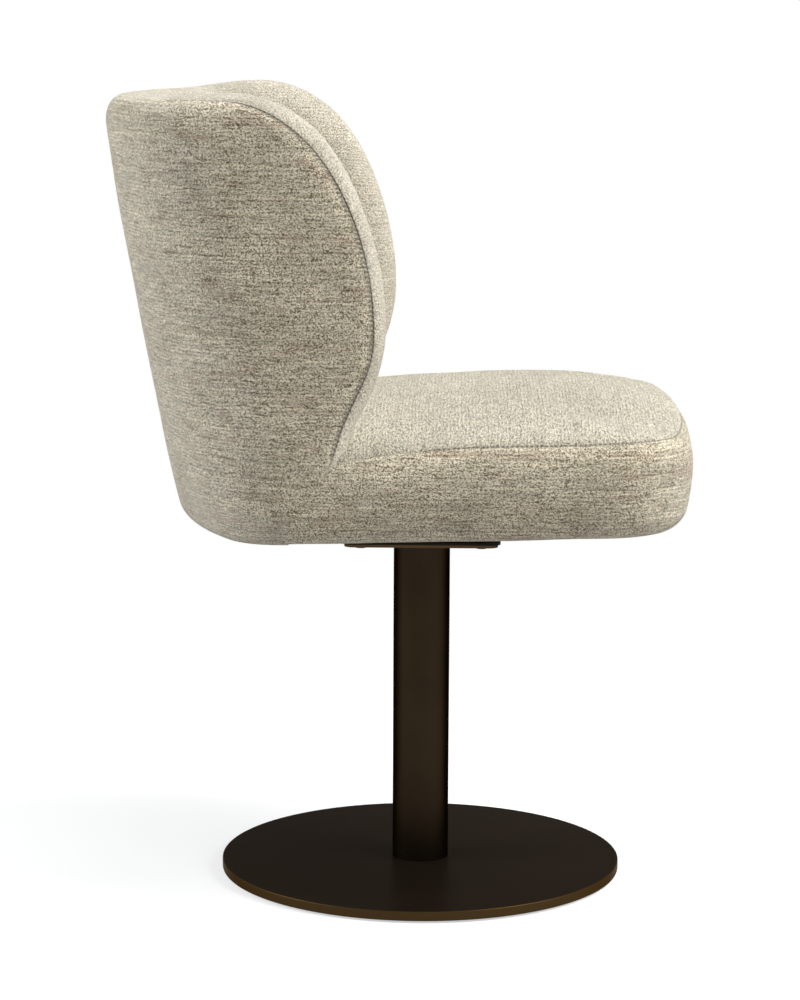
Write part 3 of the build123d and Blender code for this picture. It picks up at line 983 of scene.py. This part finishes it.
def makeOuterBack():
    count = outerBack["columns"]
    across = np.linspace(-1, 1, count)
    onWings = smoothStep(np.abs(across), *outerBack["wings"])
    sideRound, rearRound = outerBack["bottomRound"]
    radius = rearRound + (sideRound - rearRound) * onWings
    rows, patternZ = [], []
    y = float(seamY(undersideAt(outerBack["flapStart"])))
    run = across * runAtY(y, undersideAt(y))
    for inset in outerBack["flap"]:
        x, y = outline(run, plan["underside"], inset)
        rows.append(stack(x, y, undersideAt(y)))
        patternZ.append(undersideAt(y) - inset)
    heldRows = len(rows) + 1
    for k in range(7):
        angle = math.pi / 2 * k / 6
        footZ = undersideAt(outerBack["footStart"]) + sideRound * (1 - math.cos(angle))
        run = across * runAtY(float(seamY(footZ)), footZ)
        z = undersideAt(outline(run, footZ, 0)[1]) + radius * (1 - math.cos(angle))
        x, y = outline(run, z, radius * (1 - math.sin(angle)) + outerInset(run, z))
        rows.append(stack(x, y, z))
        patternZ.append(z - radius * (1 - angle) * 0.6)
    for run0, z0 in seamFlat:
        run = across * run0
        tilt = undersideAt(outline(run, z0, 0)[1]) - undersideAt(outline(run0, z0, 0)[1])
        fuller = (radius - sideRound) * (1 - smoothStep(z0, 408, 500))
        z = z0 + tilt * (1 - smoothStep(z0, 400, 620)) + fuller
        x, y = outline(run, z, outerInset(run, z))
        rows.append(stack(x, y, z))
        patternZ.append(z)
    rows = np.array(rows)
    last = len(rows) - 1
    faces, places = gridFaces(len(rows), count)
    faces = [face[::-1] for face in faces]
    runs = np.array([across * abs(runAtY(max(row[-1, 1], 40), row[-1, 2])) for row in rows])
    corners = [(runs[r, c], patternZ[r][c]) for square in places for r, c in square[::-1]]
    # the seam runs up both sides and over the top
    near, sewn = np.zeros(rows.shape[:2]), np.zeros(rows.shape[:2])
    travelled = np.cumsum(np.linalg.norm(np.diff(rows[:, 0], axis=0, prepend=rows[:1, 0]), axis=1))
    sewn[:] = travelled[:, None]
    sewn[-1] = travelled[-1] + np.abs(runs[-1] - runs[-1, 0])
    # where the seam's painted shade line shows: up the wings, and fainter over the rear of the top
    near[:, 0] = near[:, -1] = smoothStep(rows[:, 0, 2], 425, 475)
    near[-1] = 1 - 0.75 * rearShare(runs[-1])
    piece = softMesh("backOuter", rows.reshape(-1, 3), faces, corners, (near.ravel(), sewn.ravel()))
    piece.data.materials.append(sideFabric)
    pins = {
        r * count + c: 1.0 for r in range(len(rows)) for c in range(count)
        if r < heldRows or r == last or c in (0, count - 1)
    }
    puff(piece, pins, outerBack["pressure"], outerBack["cap"])
    thicken(piece, outerBack["thickness"])
    unevenness(piece, *outerBack["swell"])
    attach(piece, "seat")
    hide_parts("back_outer_cover", "back_wadding")
    return piece


backOuter = makeOuterBack()
print("outer back made")


# inner back: the cover that lines the back and turns over its rim to the seam, with the padding under it

innerBack = {
    "columns": 93,
    "rimSteps": 12,
    "rimTurn": 20.0,  # how far below the seam the rim becomes the inner face
    "foot": 447.0,
    # share of the way from the foot to the top, and how far the rim stands over the seam
    "crest": ((0.0, 9.0), (0.10, 10.2), (0.21, 12.6), (0.29, 10.4), (0.42, 11.6), (0.60, 11.2), (0.70, 13.6),
              (0.79, 15.2), (0.87, 13.0), (1.0, 7.4)),
    "rearCrest": 0.8,
    "firmness": 0.75,  # of the foam under the rim
    "thickness": 13.0,
    "pressure": 2.5,
    "cap": 4.0,
    "swell": (70.0, 0.8, 23.0),
    "fill": 0.65,
}


def makeInnerBack():
    keep = seamFlat[:, 1] >= innerBack["foot"]
    flat, out = seamFlat[keep], seamOut[keep]
    steps = np.concatenate([[0], np.cumsum(np.linalg.norm(np.diff(flat, axis=0), axis=1))])
    share = steps / steps[-1]
    crest = np.interp(share, *zip(*innerBack["crest"]))
    count = innerBack["columns"]
    across = np.linspace(-1, 1, count)
    turn = innerBack["rimTurn"]
    wall = plan["wall"]
    # inner face, row by row, its ends on the rim
    rows, flatRows = [], []
    for (run0, z0), (outRun, outZ) in zip(flat, out):
        run = across * (run0 - outRun * turn)
        z = np.full(count, z0 - outZ * turn)
        x, y = outline(run, z, wall)
        rows.append(stack(x, y, z))
        flatRows.append(stack(run, z))
    faces, places = gridFaces(len(rows), count)
    points = list(np.concatenate(rows))
    pattern = list(np.concatenate(flatRows))
    corners = [pattern[r * count + c] for square in places for r, c in square]
    # rim: from the inner face over the crest to the seam
    size = len(rows)
    current = [j * count for j in range(size)] + [(size - 1) * count + i for i in range(1, count - 1)]
    current += [j * count + count - 1 for j in reversed(range(size))]
    ring = np.array([points[i] for i in current])
    topRuns = across[1:-1] * flat[-1, 0]
    blendCrest = smoothStep(flat[-1, 0] - np.abs(topRuns), 0, 150)
    topCrest = crest[-1] + (innerBack["rearCrest"] - crest[-1]) * blendCrest
    baseRun = np.concatenate([-flat[:, 0], topRuns, flat[::-1, 0]])
    baseZ = np.concatenate([flat[:, 1], np.full(count - 2, wingSeam["top"]), flat[::-1, 1]])
    outRun = np.concatenate([-out[:, 0], np.zeros(count - 2), out[::-1, 0]])
    outZ = np.concatenate([out[:, 1], np.ones(count - 2), out[::-1, 1]])
    high = np.concatenate([crest, topCrest, crest[::-1]])
    seamInset = outerInset(baseRun, baseZ)
    middle = (seamInset + wall) / 2
    flush = rearShare(baseRun)
    half = innerBack["rimSteps"] // 2
    travelled = np.full(len(ring), -turn)
    for k in range(1, innerBack["rimSteps"] + 1):
        if k <= half:
            angle = math.pi / 2 * k / half
            inset = wall - (wall - middle) * (1 - math.cos(angle))
            lift = -turn + (high + turn) * math.sin(angle)
        else:
            # a groove at the wings' seam, and no more than a fold at the rear
            part = (k - half) / (innerBack["rimSteps"] - half)
            angle = math.pi / 2 * part
            turned = math.sin(angle) + (part - math.sin(angle)) * flush
            inset = middle - (middle - seamInset) * turned
            lift = high * (math.cos(angle) + (1 - part * part - math.cos(angle)) * flush)
        x, y = outline(baseRun + outRun * lift, baseZ + outZ * lift, inset)
        previous, lastRing = current, ring
        ring = stack(x, y, baseZ + outZ * lift)
        travelled = travelled + np.linalg.norm(ring - lastRing, axis=1)
        current = range(len(points), len(points) + len(ring))
        points.extend(ring)
        pattern.extend(stack(baseRun + outRun * travelled, baseZ + outZ * travelled))
        for a in range(len(ring) - 1):
            face = (previous[a], previous[a + 1], current[a + 1], current[a])
            faces.append(face)
            corners.extend(pattern[i] for i in face)
    near, run = np.zeros(len(points)), np.zeros(len(points))
    # where the seam's painted shade line shows, fainter over the rear of the top
    near[-len(ring):] = smoothStep(baseZ, 445, 475) * (1 - 0.75 * flush * (baseZ > wingSeam["top"] - 1))
    seamRun = np.cumsum(np.linalg.norm(np.diff(ring, axis=0, prepend=ring[:1]), axis=1))
    run[-2 * len(ring):] = np.tile(seamRun, 2)
    piece = softMesh("backInner", np.array(points), faces, np.array(corners), (near, run))
    piece.data.materials.append(innerFabric)
    pins = {i: 1.0 for i in [*current, *range(count)]}
    pins.update({i: innerBack["firmness"] for i in range(size * count, len(points) - len(ring))})
    puff(piece, pins, innerBack["pressure"], innerBack["cap"])
    thicken(piece, innerBack["thickness"])
    unevenness(piece, *innerBack["swell"])
    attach(piece, "seat")
    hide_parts("back_inner_cover", "back_inner_foam", "border_roll", "border_strip")
    return piece


backInner = makeInnerBack()
print("inner back made")


# floor pad: felt disc with a soft edge

padShape = {"radius": 195.2, "thickness": 2.0, "edge": 0.5, "margin": 3.0, "sides": 160}


def makeFloorPad():
    deselectAll()
    bpy.ops.mesh.primitive_cylinder_add(
        vertices=padShape["sides"], radius=padShape["radius"] * mm, depth=padShape["thickness"] * mm,
        location=(0, 0, padShape["thickness"] / 2 * mm), end_fill_type="NGON")
    piece = bpy.context.object
    piece.name = "floorPad"
    bpy.ops.object.transform_apply(location=True, rotation=True, scale=True)
    addAndApply(piece, "BEVEL", width=padShape["edge"] * mm, segments=3, limit_method="ANGLE")
    bpy.ops.object.mode_set(mode="EDIT")
    bpy.ops.mesh.select_mode(type="FACE")
    bpy.ops.mesh.select_all(action="DESELECT")
    bpy.ops.object.mode_set(mode="OBJECT")
    for face in piece.data.polygons:
        face.select = abs(face.normal.z) > 0.99
    bpy.ops.object.mode_set(mode="EDIT")
    bpy.ops.mesh.inset(thickness=padShape["margin"] * mm)
    bpy.ops.object.mode_set(mode="OBJECT")
    shadeSmooth(piece, 40)
    piece.data.materials.append(padFelt)
    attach(piece, "pedestal")
    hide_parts("floor_pad")
    return piece


floorPad = makeFloorPad()


# dust cover: black cloth stretched under the seat, round the wedge

dust = {
    "level": 400.0,  # the height at which the outline is taken
    "inset": 50.0,
    "rearIn": 4.8,
    "hole": 75.0,
    "squareness": 12,  # of the hole
    "sag": 0.49,
    "below": 0.4,
    "thickness": 0.6,
    "columns": 128,
    "rings": 12,
}


def squarePoint(angle, half):
    # point of a rounded square in the direction of the angle
    c, s = math.cos(angle), math.sin(angle)
    power = dust["squareness"]
    scale = (abs(c) ** power + abs(s) ** power) ** (-1 / power)
    return half * c * scale, half * s * scale


def makeDustCover():
    count = dust["columns"]
    run = (np.arange(count) / count * 2 - 1) * wholeRun(dust["level"])
    outX, outY = outline(run, dust["level"], dust["inset"])
    outY = outY - dust["rearIn"] * smoothStep(outY, 0, 190)
    rows = []
    for k in range(dust["rings"] + 1):
        t = k / dust["rings"]
        points = []
        for x1, y1 in zip(outX, outY):
            x0, y0 = squarePoint(math.atan2(y1, x1), dust["hole"])
            x, y = x0 + (x1 - x0) * t, y0 + (y1 - y0) * t
            sag = dust["sag"] * math.sin(math.pi * t) * (1 + 0.5 * noise.noise(Vector((x, y, 0)) / 60))
            points.append((x, y, undersideAt(y) - dust["below"] - sag))
        rows.append(points)
    rows = np.array(rows)
    faces, places = gridFaces(len(rows), count, closed=True)
    corners = [tuple(rows[r, c % count][:2]) for square in places for r, c in square]
    piece = softMesh("dustCover", rows.reshape(-1, 3), faces, corners, ())
    piece.data.materials.append(dustCloth)
    size = rows[-1].max(0) - rows[-1].min(0)
    addAndApply(piece, "SOLIDIFY", thickness=dust["thickness"] * mm, offset=0.0)
    pick(piece)
    bpy.ops.object.mode_set(mode="EDIT")
    bpy.ops.mesh.select_all(action="SELECT")
    bpy.ops.mesh.normals_make_consistent(inside=False)
    bpy.ops.object.mode_set(mode="OBJECT")
    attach(piece, "seat")
    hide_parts("dust_cover")
    size[0] * mm
    size[1] * mm
    return piece


dustCover = makeDustCover()
print("felt pad and dust cover made")


# camera, floor and light

cameraPlace = {
    "place": (-3.0437, -0.0360, 0.8806),
    "heading": 1.1,
    "pitch": 9.321,
    "roll": 0.267,
    "lens": 109.8,
}


def makeCamera():
    heading, pitch, roll = (math.radians(cameraPlace[k]) for k in ("heading", "pitch", "roll"))
    level = math.cos(pitch)
    look = Vector((math.cos(heading) * level, math.sin(heading) * level, -math.sin(pitch)))
    right = look.cross(Vector((0, 0, 1))).normalized()
    up = right.cross(look)
    right, up = right * math.cos(roll) + up * math.sin(roll), up * math.cos(roll) - right * math.sin(roll)
    data = bpy.data.cameras.new("photoCamera")
    data.lens = cameraPlace["lens"]
    data.sensor_width = 36.0
    data.clip_end = 50
    camera = bpy.data.objects.new("photoCamera", data)
    turn = Matrix((right, up, -look)).transposed()
    camera.matrix_world = Matrix.Translation(cameraPlace["place"]) @ turn.to_4x4()
    scene.collection.objects.link(camera)
    scene.camera = camera


makeCamera()

studio = {
    "world": 0.05,
    "floor": 0.50,
    "floorLift": 0.56,  # added where the camera sees the floor
    "floorBlend": (0.45, 1.1),  # metres from the middle, where the floor turns into the backdrop
    "lights": {
        # place, the height it is aimed at, size, power and tint
        "overhead": ((0.1, 0.0, 3.0), 0.4, 2.6, 38.0, (1.0, 0.99, 0.97)),
        "frontHigh": ((-0.4, -1.9, 2.6), 0.5, 1.8, 106.0, (1.0, 0.99, 0.97)),
        "frontNear": ((-1.6, -2.5, 1.7), 0.5, 1.8, 42.0, (1.0, 0.99, 0.97)),
        "rearSide": ((-0.5, 2.7, 1.5), 0.5, 1.8, 80.0, (0.97, 1.0, 1.03)),
    },
}


def makeLight(name, place, aimHeight, size, power, tint):
    data = bpy.data.lights.new(name, "AREA")
    setAll(data, {"shape": "DISK", "size": size, "energy": power, "color": tint})
    light = bpy.data.objects.new(name, data)
    light.location = place
    aim = Vector((0, 0, aimHeight)) - Vector(place)
    light.rotation_euler = aim.to_track_quat("-Z", "Y").to_euler()
    scene.collection.objects.link(light)


def cameraSees(tree):
    # 1 for what the camera sees, also in a mirror or through glass
    node = tree.nodes.new("ShaderNodeLightPath")
    straight, mirrored, through = [
        Field(tree, node.outputs[f"Is {kind} Ray"]) for kind in ("Camera", "Glossy", "Transmission")]
    return maths("MAXIMUM", maths("MAXIMUM", straight, mirrored), through)


def mixShaders(share, a, b):
    tree = share.tree
    mix = tree.nodes.new("ShaderNodeMixShader")
    wire(share, mix.inputs[0])
    tree.links.new(a, mix.inputs[1])
    tree.links.new(b, mix.inputs[2])
    return mix.outputs[0]


def makeFloor():
    deselectAll()
    bpy.ops.mesh.primitive_circle_add(vertices=96, radius=9.0, fill_type="NGON", location=(0, 0, -0.0002))
    floor = bpy.context.object
    floor.name = "studioFloor"
    material, tree, output = newMaterial("paleFloor")
    diffuse = tree.nodes.new("ShaderNodeBsdfDiffuse")
    wire((studio["floor"],) * 3, diffuse.inputs["Color"])
    glow, lift = tree.nodes.new("ShaderNodeEmission"), tree.nodes.new("ShaderNodeEmission")
    visible = cameraSees(tree)
    away = mapRange(lengthOf(objectPlace(tree)), *studio["floorBlend"], smooth=True)
    wire(visible * 1.0, glow.inputs["Strength"])
    wire(visible * studio["floorLift"], lift.inputs["Strength"])
    near = tree.nodes.new("ShaderNodeAddShader")
    tree.links.new(diffuse.outputs[0], near.inputs[0])
    tree.links.new(lift.outputs[0], near.inputs[1])
    tree.links.new(mixShaders(away * visible, near.outputs[0], glow.outputs[0]), output.inputs["Surface"])
    floor.data.materials.append(material)
    floor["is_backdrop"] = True


def makeWorld():
    world = bpy.data.worlds.new("studioWorld")
    scene.world = world
    world.use_nodes = True
    tree = world.node_tree
    tree.nodes.clear()
    output = tree.nodes.new("ShaderNodeOutputWorld")
    backdrop, ambient = tree.nodes.new("ShaderNodeBackground"), tree.nodes.new("ShaderNodeBackground")
    for background in (backdrop, ambient):
        background.inputs["Color"].default_value = (1, 1, 1, 1)
    ambient.inputs["Strength"].default_value = studio["world"]
    seen = mixShaders(cameraSees(tree), ambient.outputs[0], backdrop.outputs[0])
    tree.links.new(seen, output.inputs["Surface"])


makeWorld()
makeFloor()
for lightName, settings in studio["lights"].items():
    makeLight(lightName, *settings)
scene.view_settings.view_transform = "Standard"
print("camera, floor and light set")

for corners in (cadBox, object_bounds()):
    [round(v, 5) for corner in corners for v in corner]
